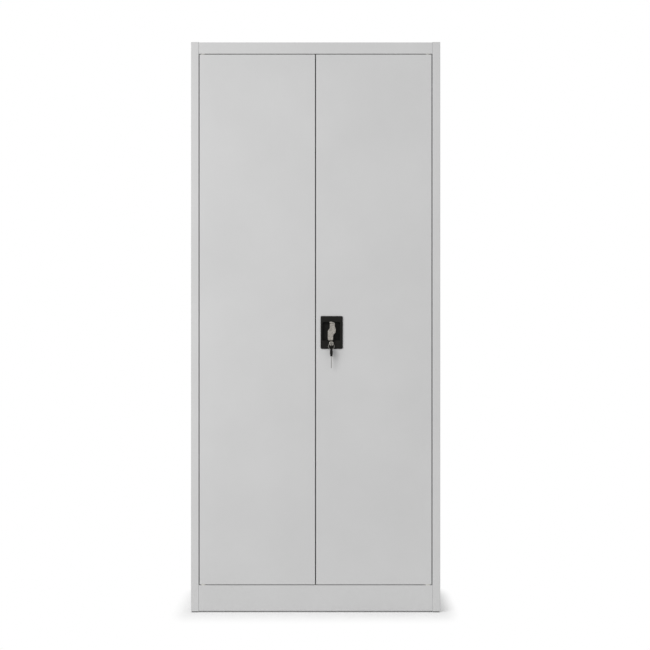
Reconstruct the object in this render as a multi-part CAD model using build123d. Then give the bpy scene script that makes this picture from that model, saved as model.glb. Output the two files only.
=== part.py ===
from build123d import *
import os
from math import ceil, cos, pi, sin, sqrt

# A two-door steel storage cupboard, flat-packed: millimetres, +Z up, doors towards -Y.
# The origin is on the floor, under the middle of the box that holds the cupboard
# and the keys that stand in front of its doors.
# A place called depth is measured backwards from the front face of the posts.

# Overall size
cabinet_width = 800.0
cabinet_depth = 400.0
cabinet_height = 1830.0

# Sheet steel and clearances
sheet = 0.8
rail_sheet = 1.2
bend = 1.6                     # radius outside a fold
seam_gap = 0.15                # between panels that are screwed together
running_clearance = 0.05       # between a shaft and its bore
screw_clearance = 0.15
loose_clearance = 0.4          # round things that slide in a slot
rest_gap = 0.3                 # between a piece and the seat it rests on
overrun = 5.0                  # how far every cut passes its faces

# Posts and side panels
post_face = 25.0
post_return = 20.0
rear_flange = 25.0
top_lip = 18.0
foot_plate_length = 40.0
glide_height = 3.0
glide_width = 20.0
glide_length = 30.0
glide_inset = 2.6
glide_peg_radius = 4.0
glide_peg_length = 10.0
glide_corner = 3.0

# Top rail, plinth and door stops
top_drop = 1.0                 # the top panel lies this much below the posts
rail_face = 37.0
top_rear_flange = 25.0
side_flange = 20.0
stop_depth = 30.0              # front face of the lips that stop the doors
stop_lip = 12.0
plinth_bottom = 4.0
plinth_top = 87.0
plinth_return = 20.0
floor_top = 100.0
floor_rear_flange = 25.0
base_channel_height = 28.0
buffer_radius = 4.5
buffer_round = 1.5
buffer_shares = (0.12, 0.88)   # places of a door's buffers across its width

# Doors
door_depth = 25.0
door_side_gap = 2.5
door_centre_gap = 3.0
door_top_gap = 2.0
door_bottom_gap = 2.0
hem_width = 18.0
stiffener_width = 44.0
stiffener_flange = 12.0
stiffener_depth = 14.0
stiffener_end_gap = 25.0

# Hinges
hinge_inset = 12.0             # pin axis from the door's hinge edge
hinge_depth = 7.0              # pin axis behind the door's face
pin_radius = 4.0
pin_reach = 10.0               # how far a pin enters the rail or the plinth
pin_head_radius = 6.0
pin_head_height = 3.0
pin_chamfer = 0.8
pivot_plate_length = 36.0
pivot_plate_thickness = 2.5
bush_flange = 1.0
bush_flange_radius = 7.6
bush_radius = 5.5
bush_length = 5.0
washer_radius = 7.6

# Slotted rails, shelves and clips
rail_width = 30.0
rail_inset = 50.0              # front rail behind the posts' face, rear rail before the back
rail_top_gap = 7.0
slot_pitch = 50.0
slot_width = 5.0
slot_height = 16.0
first_slot = 52.0              # centre of the lowest slot above the rail's foot
shelf_count = 4
shelf_fold = 25.0
shelf_front = 40.0
shelf_rear_gap = 18.0
shelf_hem = 12.0
clip_sheet = 1.6
clip_width = 14.0
clip_ledge = 14.0
clip_back = 22.0
clip_drop = 8.0                # ledge below the slot's lower end
hook_height = 5.0
hook_drop = 6.0
shelf_side_gap = 0.5
shelf_channel_width = 32.0
shelf_channel_flange = 12.0
shelf_channel_depth = 14.0

# Back panels
back_bottom = 60.0
seam_flange = 12.0
bead_width = 44.0
bead_height = 4.0
bead_end_gap = 130.0
bead_slope = 45.0              # degrees
bead_shares = (0.28, 0.72)     # places of the beads across a back panel
wall_hole_radius = 4.0
wall_hole_spacing = 600.0
wall_hole_drop = 50.0

# Screws and nuts
screw_radius = 2.5
screw_head_radius = 4.6
screw_head_height = 2.4
screw_head_round = 1.0
screw_slot = 1.2
screw_length = 9.0
nut_size = 8.0                 # across flats
nut_height = 3.0
back_screw_count = 6
back_screw_margin = 60.0
seam_screw_count = 3
side_screw_shares = (0.38, 0.7)  # places of the panel screws along the depth

# Lock: the turn handle's axis is the lock axis
handle_height = 902.0
plate_width = 71.0
plate_height = 105.2
plate_inset = 14.6             # black plate from the door's free edge
plate_proud = 3.5
plate_corner = 4.0
plate_round = 1.2
spindle_from_plate_side = 34.4
spindle_from_plate_foot = 56.5
barrel_from_plate_foot = 17.3
recess_width = 57.0
recess_height = 59.4
recess_depth = 11.0            # recess floor behind the door's face
recess_corner = 3.0
recess_shift = 0.6             # recess centre towards the free edge from the lock axis
cup_wall = 2.0
cup_clearance = 0.5

# Turn handle
grip_half_length = 29.5
grip_width = 17.2
grip_shift = 3.0               # each half of the grip stands to one side of the axis
grip_overlap = 9.0
grip_hub_radius = 13.0
grip_thickness = 9.0
grip_gap = 0.8                 # between the grip and the black plate
grip_corner = 2.2
grip_round = 1.5
stem_radius = 9.0
stem_floor_gap = 0.5
spindle_radius = 5.0
spindle_square = 7.0

# Lock cam
cam_front = 14.0               # depth of the cam's front face
cam_thickness = 3.0
cam_radius = 33.8
cam_slot_start = 10.0
rod_travel = 15.0
cam_turn = pi / 2
cam_slot_points = 7
rod_pin_radius = 2.4
tongue_half_width = 6.0
tongue_reach = 63.0

# Rods and guides
rod_width = 14.0
rod_thickness = 3.0
rod_cam_gap = 1.0
rod_end_gap = 5.0              # rod beyond its pin
rod_tip_gap = 0.4              # rod end inside the door's edge when drawn in
guide_half_width = 14.0
guide_height = 16.0
guide_rear_gap = 1.0
near_guide = 130.0             # inner guides above and below the lock axis
low_guide = 163.0              # outer guides from the door's lower and upper ends
high_guide = 238.0

# Lock barrel, plug and tail
barrel_head_radius = 7.3
barrel_head_height = 1.5
barrel_radius = 6.6
barrel_back = 13.0
barrel_round = 0.6
clip_half_width = 13.0
clip_leg = 12.0
clip_crown = 7.2
clip_thickness = 1.5
barrel_groove = 1.0
plug_radius = 4.5
plug_proud = 0.2
keyway_half_width = 1.0
keyway_half_height = 3.6
keyway_depth = 14.0
tail_hub_radius = 4.8
tail_reach = 8.0
tail_half_width = 3.5
tail_thickness = 2.4
tail_screw_radius = 3.0
tail_screw_height = 0.8
tail_sweep_gap = 0.7

# Keys and ring
key_sheet = 1.8
key_blade_half_width = 3.3
key_blade_length = 12.0
key_bow_radius = 8.5
key_shoulder = 1.0
key_hole_radius = 1.75
key_hole_chamfer = 0.5
ring_wire_radius = 0.8
ring_radius = 9.2
spare_bow_thickness = 7.0
spare_bow_width = 19.0
spare_bow_length = 26.7
spare_bow_corner = 5.7
spare_bow_round = 1.2
spare_hole_radius = 2.4
spare_hole_crown = 2.2         # plastic above the spare key's hole
spare_blade_width = 7.5
spare_blade_length = 37.7
spare_tip_chamfer = 2.2
spare_tang = 10.0
key_cut_depth = 1.6
key_cut_radius = 1.5
key_cut_shares = (0.9, 0.5, 1.0, 0.6, 0.8)   # depth of each cut

# Cover over the lock works
cover_inset = 1.5
cover_width = 101.0
cover_above = 72.0
cover_below = 56.0
cover_corner = 6.0
cover_hem_shares = (0.28, 0.86)
spacer_radius = 4.0
spacer_offset = 44.5
spacer_rise = 42.0
small_screw_radius = 2.0
small_head_radius = 3.6
small_head_height = 1.8
small_screw_length = 6.0

# Places worked out from the sizes above
side_x = cabinet_width / 2
opening_x = side_x - post_face
top_z = cabinet_height - top_drop
rail_bottom = top_z - rail_face
door_bottom = plinth_top + door_bottom_gap
door_top = rail_bottom - door_top_gap
door_outer_x = opening_x - door_side_gap
door_inner_x = door_centre_gap / 2
door_middle_x = (door_outer_x + door_inner_x) / 2
pivot_x = door_outer_x - hinge_inset
plate_left = door_inner_x + plate_inset
plate_foot = handle_height - spindle_from_plate_foot
lock_x = plate_left + spindle_from_plate_side
barrel_z = plate_foot + barrel_from_plate_foot
cam_back = cam_front + cam_thickness
rod_front = cam_back + rod_cam_gap
rod_back = rod_front + rod_thickness
plug_front = -plate_proud - barrel_head_height - plug_proud
bow_depth = plug_front - key_shoulder - key_bow_radius
key_reach = spare_bow_width / 2 - bow_depth
ring_z = barrel_z - ring_radius
wire_low_z = ring_z - ring_radius
channel_top = floor_top - 2 * sheet
channel_bottom = channel_top - base_channel_height
rail_foot = channel_top
rail_head = cabinet_height - top_lip - rail_top_gap
shelf_x = opening_x - clip_sheet - shelf_side_gap
shelf_back = cabinet_depth - shelf_rear_gap
rail_fronts = (rail_inset, cabinet_depth - rail_inset - rail_width)
back_top = top_z - bend - rest_gap

front_y = (key_reach - cabinet_depth) / 2
back_y = front_y + cabinet_depth


# Shapes shared by many pieces

def block(x, depth, z):
    """Box between two places along each direction."""
    ranges = (x, depth, z)
    lengths = [abs(high - low) for low, high in ranges]
    middle = [(high + low) / 2 for low, high in ranges]
    return Pos(middle[0], front_y + middle[1], middle[2]) * Box(*lengths)


def rounded_block(x, depth, z, axis, radius):
    """Block whose edges along an axis are rounded."""
    solid = block(x, depth, z)
    return fillet(solid.edges().filter_by(axis), radius)


def bar_x(x, depth, z, radius):
    return Pos((x[0] + x[1]) / 2, front_y + depth, z) * Rot(0, 90, 0) * Cylinder(radius, abs(x[1] - x[0]))


def bar_y(x, depth, z, radius):
    middle = front_y + (depth[0] + depth[1]) / 2
    return Pos(x, middle, z) * Rot(90, 0, 0) * Cylinder(radius, abs(depth[1] - depth[0]))


def bar_z(x, depth, z, radius):
    return Pos(x, front_y + depth, (z[0] + z[1]) / 2) * Cylinder(radius, abs(z[1] - z[0]))


def folded_section(points, thickness, side):
    """Section of a folded sheet whose face follows the points, with round folds."""
    line = FilletPolyline(*points, radius=bend)
    outline = line.offset_2d(thickness, side=side, closed=True)
    return make_face(outline.edges())


def folded_along_x(points, x, side, thickness=sheet):
    """Folded sheet whose section, given by depth and height, runs along X."""
    places = [(front_y + depth, z) for depth, z in points]
    section = Plane.YZ * folded_section(places, thickness, side)
    return extrude(Pos(x[0], 0, 0) * section, x[1] - x[0], dir=(1, 0, 0))


def folded_along_z(points, z, side, thickness=sheet):
    """Folded sheet whose section, given by x and depth, runs along Z."""
    places = [(x, front_y + depth) for x, depth in points]
    section = folded_section(places, thickness, side)
    return extrude(Pos(0, 0, z[0]) * section, z[1] - z[0], dir=(0, 0, 1))


def hat_points(middle, width, flange, height, base):
    """Line of a hat channel from one flange to the other, as pairs of width and height."""
    half = width / 2
    return [
        (middle - half - flange, base),
        (middle - half, base),
        (middle - half, base + height),
        (middle + half, base + height),
        (middle + half, base),
        (middle + half + flange, base),
    ]


def mirrored(shape):
    """The same piece on the other side of the cupboard."""
    return mirror(shape, about=Plane.YZ)


def pair(shape):
    return [shape, mirrored(shape)]


def spread(first, last, count):
    """Evenly spaced places from the first to the last."""
    return [first + (last - first) * index / (count - 1) for index in range(count)]


def machine_screw(radius, head_radius, head_height, length):
    """Pan-head screw along Z, its head above the plane z = 0."""
    head = Pos(0, 0, head_height / 2) * Cylinder(head_radius, head_height)
    head = fillet(head.edges().sort_by(Axis.Z)[-1], min(screw_head_round, head_height / 2))
    shank = Pos(0, 0, -length / 2) * Cylinder(radius, length)
    slot = Pos(0, 0, head_height) * Box(head_radius, screw_slot, head_height)
    return head + shank - slot - Rot(0, 0, 90) * slot


def hex_nut(grip):
    """Nut on a screw of the same direction, below the sheets that it grips."""
    outline = RegularPolygon(nut_size / 2, 6, major_radius=False)
    body = extrude(outline, nut_height) - Cylinder(screw_radius + running_clearance, 2 * nut_height + overrun)
    return Pos(0, 0, -grip - nut_height) * body


def panel_screw():
    return machine_screw(screw_radius, screw_head_radius, screw_head_height, screw_length)


def small_screw():
    return machine_screw(small_screw_radius, small_head_radius, small_head_height, small_screw_length)


def facing_back(x, depth, z, shape):
    """A screw or nut placed with its head towards the back."""
    return Pos(x, front_y + depth, z) * Rot(-90, 0, 0) * shape


def facing_right(x, depth, z, shape):
    """A screw or nut placed with its head towards +X."""
    return Pos(x, front_y + depth, z) * Rot(0, 90, 0) * shape


# Places of the screws

def side_screw_depths():
    return [share * cabinet_depth for share in side_screw_shares]


def back_screw_heights():
    return spread(back_bottom + back_screw_margin, back_top - back_screw_margin, back_screw_count)


def seam_screw_heights():
    return spread(back_bottom + 2 * back_screw_margin, back_top - 2 * back_screw_margin, seam_screw_count)


top_screw_z = cabinet_height - top_lip / 2 - sheet
base_screw_z = (channel_top + channel_bottom) / 2
rear_screw_x = side_x - rear_flange / 2
seam_screw_depth = cabinet_depth - 2 * sheet - seam_flange / 2
seam_grip = 2 * sheet + seam_gap
side_grip = 2 * sheet + seam_gap
seat_x = opening_x - seam_gap - sheet   # inner face of the panels' side flanges


# Shell of the cupboard

def side_panel():
    """Left side panel with its post, rear flange, top fold and foot plates."""
    line = [
        (-opening_x, post_return),
        (-opening_x, 0),
        (-side_x, 0),
        (-side_x, cabinet_depth),
        (-side_x + rear_flange, cabinet_depth),
    ]
    panel = folded_along_z(line, (glide_height, cabinet_height), Side.RIGHT)
    across = (-side_x, -opening_x)
    top = (cabinet_height - sheet, cabinet_height)
    panel += rounded_block(across, (0, cabinet_depth), top, Axis.Z, bend)
    lip_end = cabinet_depth - 2 * sheet - rest_gap
    lip_x = (-opening_x - sheet, -opening_x)
    panel += block(lip_x, (post_return - sheet, lip_end), (cabinet_height - top_lip, cabinet_height - sheet))
    foot = (glide_height, glide_height + sheet)
    for ends in ((0, foot_plate_length), (cabinet_depth - foot_plate_length, cabinet_depth)):
        panel += rounded_block(across, ends, foot, Axis.Z, bend)
    hole = screw_radius + screw_clearance
    for z in back_screw_heights():
        panel -= bar_y(-rear_screw_x, (cabinet_depth - sheet - overrun, cabinet_depth + overrun), z, hole)
    for depth in side_screw_depths():
        panel -= bar_x((-opening_x - overrun, -opening_x + overrun), depth, top_screw_z, hole)
    for depth in glide_depths():
        peg_hole = glide_peg_radius + screw_clearance
        panel -= bar_z(-glide_x(), depth, (0, glide_height + overrun), peg_hole)
    return panel


def glide_x():
    return side_x - glide_inset - glide_width / 2


def glide_depths():
    front = glide_inset + glide_length / 2
    return (front, cabinet_depth - front)


def foot_glides():
    """Four plastic glides pressed into the foot plates."""
    glides = []
    for depth in glide_depths():
        across = (-glide_x() - glide_width / 2, -glide_x() + glide_width / 2)
        along = (depth - glide_length / 2, depth + glide_length / 2)
        pad = rounded_block(across, along, (0, glide_height), Axis.Z, glide_corner)
        peg = (glide_height - sheet, glide_height + glide_peg_length)
        pad += bar_z(-glide_x(), depth, peg, glide_peg_radius)
        glides += pair(pad)
    return glides


def rod_keeper(z):
    """Opening for the end of a rod in the rail or the plinth."""
    across = (lock_x - rod_width / 2 - 2 * loose_clearance, lock_x + rod_width / 2 + 2 * loose_clearance)
    deep = (rod_front - 2 * loose_clearance, rod_back + 2 * loose_clearance)
    return block(across, deep, (z - overrun, z + overrun))


def bush_hole(x, z):
    return bar_z(x, hinge_depth, (z - overrun, z + overrun), bush_radius + screw_clearance)


def with_side_flanges(panel, z):
    """Adds the folds by which a panel is screwed between the side panels."""
    along = (post_return + sheet, cabinet_depth - 2 * sheet - rest_gap)
    flange = block((-seat_x - sheet, -seat_x), along, z)
    for one in pair(flange):
        panel += one
    return panel


def side_screw_holes(panel, z):
    hole = screw_radius + screw_clearance
    for depth in side_screw_depths():
        for x in (-seat_x, seat_x):
            panel -= bar_x((x - overrun, x + overrun), depth, z, hole)
    return panel


def top_panel():
    """Top with the front rail, its underside and the lip that stops the doors."""
    line = [
        (cabinet_depth, top_z - top_rear_flange),
        (cabinet_depth, top_z),
        (0, top_z),
        (0, rail_bottom),
        (stop_depth, rail_bottom),
        (stop_depth, rail_bottom - stop_lip),
    ]
    half = opening_x - seam_gap
    panel = folded_along_x(line, (-half, half), Side.LEFT)
    panel = with_side_flanges(panel, (top_z - side_flange, top_z - sheet / 2))
    panel = side_screw_holes(panel, top_screw_z)
    for x in (-pivot_x, pivot_x):
        panel -= bush_hole(x, rail_bottom)
    return panel - rod_keeper(rail_bottom)


def bottom_panel():
    """Floor with the plinth, the ledge under the doors and the step that stops them."""
    rear = cabinet_depth - 2 * sheet
    line = [
        (plinth_return, plinth_bottom),
        (0, plinth_bottom),
        (0, plinth_top),
        (stop_depth, plinth_top),
        (stop_depth, floor_top),
        (rear, floor_top),
        (rear, floor_top - floor_rear_flange),
    ]
    half = opening_x - seam_gap
    panel = folded_along_x(line, (-half, half), Side.RIGHT)
    panel = with_side_flanges(panel, (floor_top - side_flange, floor_top - sheet / 2))
    panel = side_screw_holes(panel, base_screw_z)
    for x in (-pivot_x, pivot_x):
        panel -= bush_hole(x, plinth_top)
    return panel - rod_keeper(plinth_top)


def base_channel():
    """Channel on the left side panel that carries the floor."""
    section_line = [
        (-side_x + sheet, channel_bottom),
        (-opening_x, channel_bottom),
        (-opening_x, channel_top),
        (-side_x + sheet, channel_top),
    ]
    section = Plane.XZ * folded_section(section_line, sheet, Side.LEFT)
    start = post_return + sheet
    end = cabinet_depth - 2 * sheet - rest_gap
    channel = extrude(Pos(0, front_y + start, 0) * section, end - start, dir=(0, 1, 0))
    for depth in side_screw_depths():
        hole = screw_radius + screw_clearance
        channel -= bar_x((-opening_x - overrun, -opening_x + overrun), depth, base_screw_z, hole)
    return channel


def bead(x, z, width, height):
    """Tapered ridge that rises inwards from the outer face of a back panel."""
    ridge = extrude(Rectangle(width, z[1] - z[0]), height, taper=bead_slope)
    return Pos(x, back_y - sheet, (z[0] + z[1]) / 2) * Rot(90, 0, 0) * ridge


def back_panel():
    """Left half of the back: a sheet with two pressed beads and a flange at the seam."""
    outer = -side_x + sheet + bend
    inner = -seam_gap / 2
    z = (back_bottom, back_top)
    panel = block((outer, inner), (cabinet_depth - 2 * sheet, cabinet_depth - sheet), z)
    flange_start = cabinet_depth - 2 * sheet - seam_flange
    flange_z = (floor_top + rest_gap, back_top)
    panel += block((inner - sheet, inner), (flange_start, cabinet_depth - sheet), flange_z)
    bead_z = (floor_top + bead_end_gap, back_top - bead_end_gap)
    wall = sheet * sqrt(2)
    for share in bead_shares:
        place = outer + (inner - outer) * share
        panel += bead(place, bead_z, bead_width, bead_height + sheet)
    for share in bead_shares:
        place = outer + (inner - outer) * share
        hollow_z = (bead_z[0] + wall, bead_z[1] - wall)
        panel -= bead(place, hollow_z, bead_width - 2 * wall, bead_height)
    hole = screw_radius + screw_clearance
    through = (cabinet_depth - 2 * sheet - overrun, cabinet_depth + overrun)
    for height in back_screw_heights():
        panel -= bar_y(-rear_screw_x, through, height, hole)
    for height in seam_screw_heights():
        panel -= bar_x((inner - overrun, inner + overrun), seam_screw_depth, height, hole)
    wall_hole_z = back_top - wall_hole_drop
    return panel - bar_y(-wall_hole_spacing / 2, through, wall_hole_z, wall_hole_radius)


def shell_screws(shape, top_or_base_z):
    """The same screw or nut at each side flange of the top or the floor."""
    placed = []
    for depth in side_screw_depths():
        placed += pair(facing_right(-seat_x, depth, top_or_base_z, shape))
    return placed


def back_fasteners(shape):
    placed = []
    for height in back_screw_heights():
        placed += pair(facing_back(-rear_screw_x, cabinet_depth, height, shape))
    return placed


def seam_fasteners(shape):
    head_x = seam_gap / 2 + sheet
    return [facing_right(head_x, seam_screw_depth, z, shape) for z in seam_screw_heights()]


# Slotted rails and shelves

def slot_heights():
    heights = []
    z = rail_foot + first_slot
    while z < rail_head - slot_pitch / 2:
        heights.append(z)
        z += slot_pitch
    return heights


def slotted_rail(front):
    """Upright channel on the left side panel, slotted for the shelf clips."""
    line = [
        (-side_x + sheet, front),
        (-opening_x, front),
        (-opening_x, front + rail_width),
        (-side_x + sheet, front + rail_width),
    ]
    rail = folded_along_z(line, (rail_foot, rail_head), Side.LEFT, rail_sheet)
    middle = front + rail_width / 2
    slots = []
    for z in slot_heights():
        deep = (middle - slot_width / 2, middle + slot_width / 2)
        through = (-opening_x - rail_sheet - overrun, -opening_x + overrun)
        slots.append(block(through, deep, (z - slot_height / 2, z + slot_height / 2)))
    return rail - slots


def ledge_height(level):
    """Top of the clips' ledges for a shelf, counted from the lowest shelf as 1."""
    steps = (rail_head - rail_foot) / slot_pitch / (shelf_count + 1)
    slot = slot_heights()[ceil(level * steps) - 1]
    return slot - slot_height / 2 - clip_drop


def shelf_clip(front, level):
    """Clip hooked into a left-hand rail."""
    middle = front + rail_width / 2
    ledge = ledge_height(level)
    wide = (middle - clip_width / 2, middle + clip_width / 2)
    face = -opening_x
    clip = block((face, face + clip_sheet), wide, (ledge - clip_sheet, ledge + clip_back))
    clip += block((face, face + clip_ledge), wide, (ledge - clip_sheet, ledge))
    narrow = (middle - slot_width / 2 + loose_clearance, middle + slot_width / 2 - loose_clearance)
    foot = ledge + clip_drop
    hook_front = face - rail_sheet - rest_gap
    clip += block((hook_front - clip_sheet, face), narrow, (foot, foot + hook_height))
    clip += block((hook_front - clip_sheet, hook_front), narrow, (foot - hook_drop, foot + hook_height))
    return clip


def shelf_clips():
    clips = []
    for level in range(1, shelf_count + 1):
        for front in rail_fronts:
            clips += pair(shelf_clip(front, level))
    return clips


def shelf(level):
    """Shelf folded down on all sides, hemmed at the front and the back."""
    foot = ledge_height(level)
    top = foot + shelf_fold
    across = (-shelf_x, shelf_x)
    along = (shelf_front, shelf_back)
    outer = block(across, along, (foot, top))
    outer = fillet(outer.faces().sort_by(Axis.Z)[-1].edges(), bend)
    inner_x = (-shelf_x + sheet, shelf_x - sheet)
    inner_along = (shelf_front + sheet, shelf_back - sheet)
    inner = block(inner_x, inner_along, (foot - overrun, top - sheet))
    inner = fillet(inner.faces().sort_by(Axis.Z)[-1].edges(), bend - sheet)
    tray = outer - inner
    hem_x = (-shelf_x + bend, shelf_x - bend)
    tray += block(hem_x, (shelf_front, shelf_front + shelf_hem), (foot, foot + sheet))
    return tray + block(hem_x, (shelf_back - shelf_hem, shelf_back), (foot, foot + sheet))


def shelf_channel(level):
    """Hat channel under a shelf, from side to side."""
    under = ledge_height(level) + shelf_fold - sheet
    middle = (shelf_front + shelf_back) / 2
    line = hat_points(middle, shelf_channel_width, shelf_channel_flange, -shelf_channel_depth, under)
    half = shelf_x - sheet - bend
    return folded_along_x(line, (-half, half), Side.RIGHT)


# Doors and hinges

def door_pan():
    """Left door: a skin folded back on all sides, with a hem round its rear."""
    across = (-door_outer_x, -door_inner_x)
    up = (door_bottom, door_top)
    outer = block(across, (0, door_depth), up)
    outer = fillet(outer.faces().sort_by(Axis.Y)[0].edges(), bend)
    inner_x = (across[0] + sheet, across[1] - sheet)
    inner_z = (up[0] + sheet, up[1] - sheet)
    inner = block(inner_x, (sheet, door_depth - sheet), inner_z)
    inner = fillet(inner.faces().sort_by(Axis.Y)[0].edges(), bend - sheet)
    window_x = (across[0] + hem_width, across[1] - hem_width)
    window_z = (up[0] + hem_width, up[1] - hem_width)
    window = block(window_x, (door_depth - 2 * sheet, door_depth + overrun), window_z)
    pan = outer - inner - window
    for z in (door_bottom, door_top):
        pan -= bar_z(-pivot_x, hinge_depth, (z - overrun, z + overrun), pin_radius + screw_clearance)
    return pan - tongue_slot()


def tongue_slot():
    """Slot in a door's free edge that the cam's tongue swings through."""
    through = (-door_inner_x - overrun, -door_inner_x + overrun)
    deep = (cam_front - loose_clearance, cam_back + loose_clearance)
    reach = lock_x + door_inner_x - tongue_half_width
    rise = sqrt(tongue_reach ** 2 - reach ** 2)
    low = handle_height - tongue_half_width - 2 * loose_clearance
    return block(through, deep, (low, handle_height + rise + loose_clearance))


def rod_slot(z, reach):
    """Opening that a rod slides in, for so far above and below a height."""
    across = (lock_x - rod_width / 2 - loose_clearance, lock_x + rod_width / 2 + loose_clearance)
    deep = (rod_front - loose_clearance, rod_back + loose_clearance)
    return block(across, deep, (z - reach, z + reach))


def right_door_panel():
    """Right door: as the left one, with openings for the lock and its rods."""
    pan = mirrored(door_pan())
    x, z = cup_outside()
    wide = (x[0] - cup_clearance, x[1] + cup_clearance)
    tall = (z[0] - cup_clearance, z[1] + cup_clearance)
    pan -= block(wide, (-overrun, sheet + overrun), tall)
    barrel_hole = barrel_radius + loose_clearance
    pan -= bar_y(lock_x, (-overrun, sheet + overrun), barrel_z, barrel_hole)
    barrel_side = (lock_x - barrel_hole, lock_x + barrel_hole)
    pan -= block(barrel_side, (-overrun, sheet + overrun), (barrel_z, tall[0] + overrun))
    for height in (door_bottom, door_top):
        pan -= rod_slot(height, overrun)
    for height in cover_hem_heights():
        through = (door_depth - sheet - overrun / 2, door_depth + overrun)
        pan -= bar_y(cover_hem_x(), through, height, small_screw_radius + running_clearance)
    return pan


def door_stiffener():
    """Hat channel behind the left door's skin."""
    line = hat_points(-door_middle_x, stiffener_width, stiffener_flange, stiffener_depth, sheet)
    z = (door_bottom + stiffener_end_gap, door_top - stiffener_end_gap)
    return folded_along_z(line, z, Side.LEFT)


def pivot_plates():
    """Steel plates inside the left door's top and bottom folds that hold its hinge pins."""
    across = (-door_outer_x + bend, -door_outer_x + bend + pivot_plate_length)
    deep = (bend, door_depth - sheet)
    plates = []
    for fold, inward in ((door_bottom + sheet, 1), (door_top - sheet, -1)):
        plate = block(across, deep, (fold, fold + inward * pivot_plate_thickness))
        bore = (fold - overrun, fold + overrun)
        plates.append(plate - bar_z(-pivot_x, hinge_depth, bore, pin_radius + running_clearance))
    return plates


def hinge_pin(fold, outward):
    """Headed pin from inside the left door through its fold; outward is +1 up, -1 down."""
    head_seat = fold - outward * (sheet + pivot_plate_thickness)
    gap = door_top_gap if outward > 0 else door_bottom_gap
    tip = fold + outward * (gap + pin_reach)
    pin = bar_z(-pivot_x, hinge_depth, (head_seat, tip), pin_radius)
    edge = pin.edges().filter_by(GeomType.CIRCLE).sort_by(Axis.Z)[-1 if outward > 0 else 0]
    pin = chamfer(edge, pin_chamfer)
    head = (head_seat - outward * pin_head_height, head_seat)
    return pin + bar_z(-pivot_x, hinge_depth, head, pin_head_radius)


def hinge_pins():
    return [hinge_pin(door_bottom, -1), hinge_pin(door_top, 1)]


def hinge_bush(face, outward):
    """Flanged nylon bush; outward is +1 in the rail above a door, -1 in the plinth."""
    flange = (face - outward * bush_flange, face)
    body = (face, face + outward * bush_length)
    bush = bar_z(-pivot_x, hinge_depth, flange, bush_flange_radius)
    bush += bar_z(-pivot_x, hinge_depth, body, bush_radius)
    bore = (face - 2 * overrun, face + 2 * overrun)
    return bush - bar_z(-pivot_x, hinge_depth, bore, pin_radius + running_clearance)


def hinge_bushes():
    return pair(hinge_bush(rail_bottom, 1)) + pair(hinge_bush(plinth_top, -1))


def hinge_washers():
    """Washers between the lower bushes and the doors, which carry the doors."""
    z = (plinth_top + bush_flange, door_bottom)
    washer = bar_z(-pivot_x, hinge_depth, z, washer_radius)
    bore = (z[0] - overrun, z[1] + overrun)
    return pair(washer - bar_z(-pivot_x, hinge_depth, bore, pin_radius + rest_gap))


def door_buffers():
    """Rubber buffers on the stop lips, four for each door."""
    buffers = []
    top = rail_bottom - stop_lip / 2
    bottom = (plinth_top + floor_top) / 2
    for share in buffer_shares:
        x = -door_inner_x - (door_outer_x - door_inner_x) * share
        for z in (bottom, top):
            dome = bar_y(x, (door_depth + rest_gap, stop_depth), z, buffer_radius)
            dome = fillet(dome.edges().filter_by(GeomType.CIRCLE).sort_by(Axis.Y)[0], buffer_round)
            buffers += pair(dome)
    return buffers


# Lock housing, handle and cam

def recess_range():
    middle = lock_x - recess_shift
    x = (middle - recess_width / 2, middle + recess_width / 2)
    z = (handle_height - recess_height / 2, handle_height + recess_height / 2)
    return x, z


def cup_outside():
    x, z = recess_range()
    return (x[0] - cup_wall, x[1] + cup_wall), (z[0] - cup_wall, z[1] + cup_wall)


def lock_housing():
    """Black plate on the door's face with the cup that makes room for fingers."""
    plate_x = (plate_left, plate_left + plate_width)
    plate_z = (plate_foot, plate_foot + plate_height)
    plate = rounded_block(plate_x, (-plate_proud, 0), plate_z, Axis.Y, plate_corner)
    plate = fillet(plate.faces().sort_by(Axis.Y)[0].edges(), plate_round)
    outer_x, outer_z = cup_outside()
    cup_back = recess_depth + cup_wall
    cup = rounded_block(outer_x, (-plate_proud / 2, cup_back), outer_z, Axis.Y, recess_corner + cup_wall)
    inner_x, inner_z = recess_range()
    hollow = rounded_block(inner_x, (-plate_proud - overrun, recess_depth), inner_z, Axis.Y, recess_corner)
    housing = plate + cup - hollow
    housing -= bar_y(lock_x, (0, cup_back + overrun), handle_height, spindle_radius + running_clearance)
    through = (-plate_proud - overrun, overrun)
    return housing - bar_y(lock_x, through, barrel_z, barrel_radius + running_clearance)


def turn_handle():
    """Cast lever with two offset halves, its stem and the spindle that turns the cam."""
    back = -plate_proud - grip_gap
    deep = (back - grip_thickness, back)
    far = grip_shift + grip_width / 2
    near = grip_width / 2 - grip_shift
    upper_z = (handle_height - grip_overlap, handle_height + grip_half_length)
    lower_z = (handle_height - grip_half_length, handle_height + grip_overlap)
    grip = block((lock_x - near, lock_x + far), deep, upper_z)
    grip += block((lock_x - far, lock_x + near), deep, lower_z)
    grip = fillet(grip.edges().filter_by(Axis.Y), grip_corner)
    grip += bar_y(lock_x, deep, handle_height, grip_hub_radius)
    grip = fillet(grip.faces().sort_by(Axis.Y)[0].edges(), grip_round)
    stem_end = recess_depth - stem_floor_gap
    grip += bar_y(lock_x, (back, stem_end), handle_height, stem_radius)
    grip += bar_y(lock_x, (stem_end, cam_front), handle_height, spindle_radius)
    half = spindle_square / 2
    square_x = (lock_x - half, lock_x + half)
    square_z = (handle_height - half, handle_height + half)
    return grip + block(square_x, (cam_front, cam_back), square_z)


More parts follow.
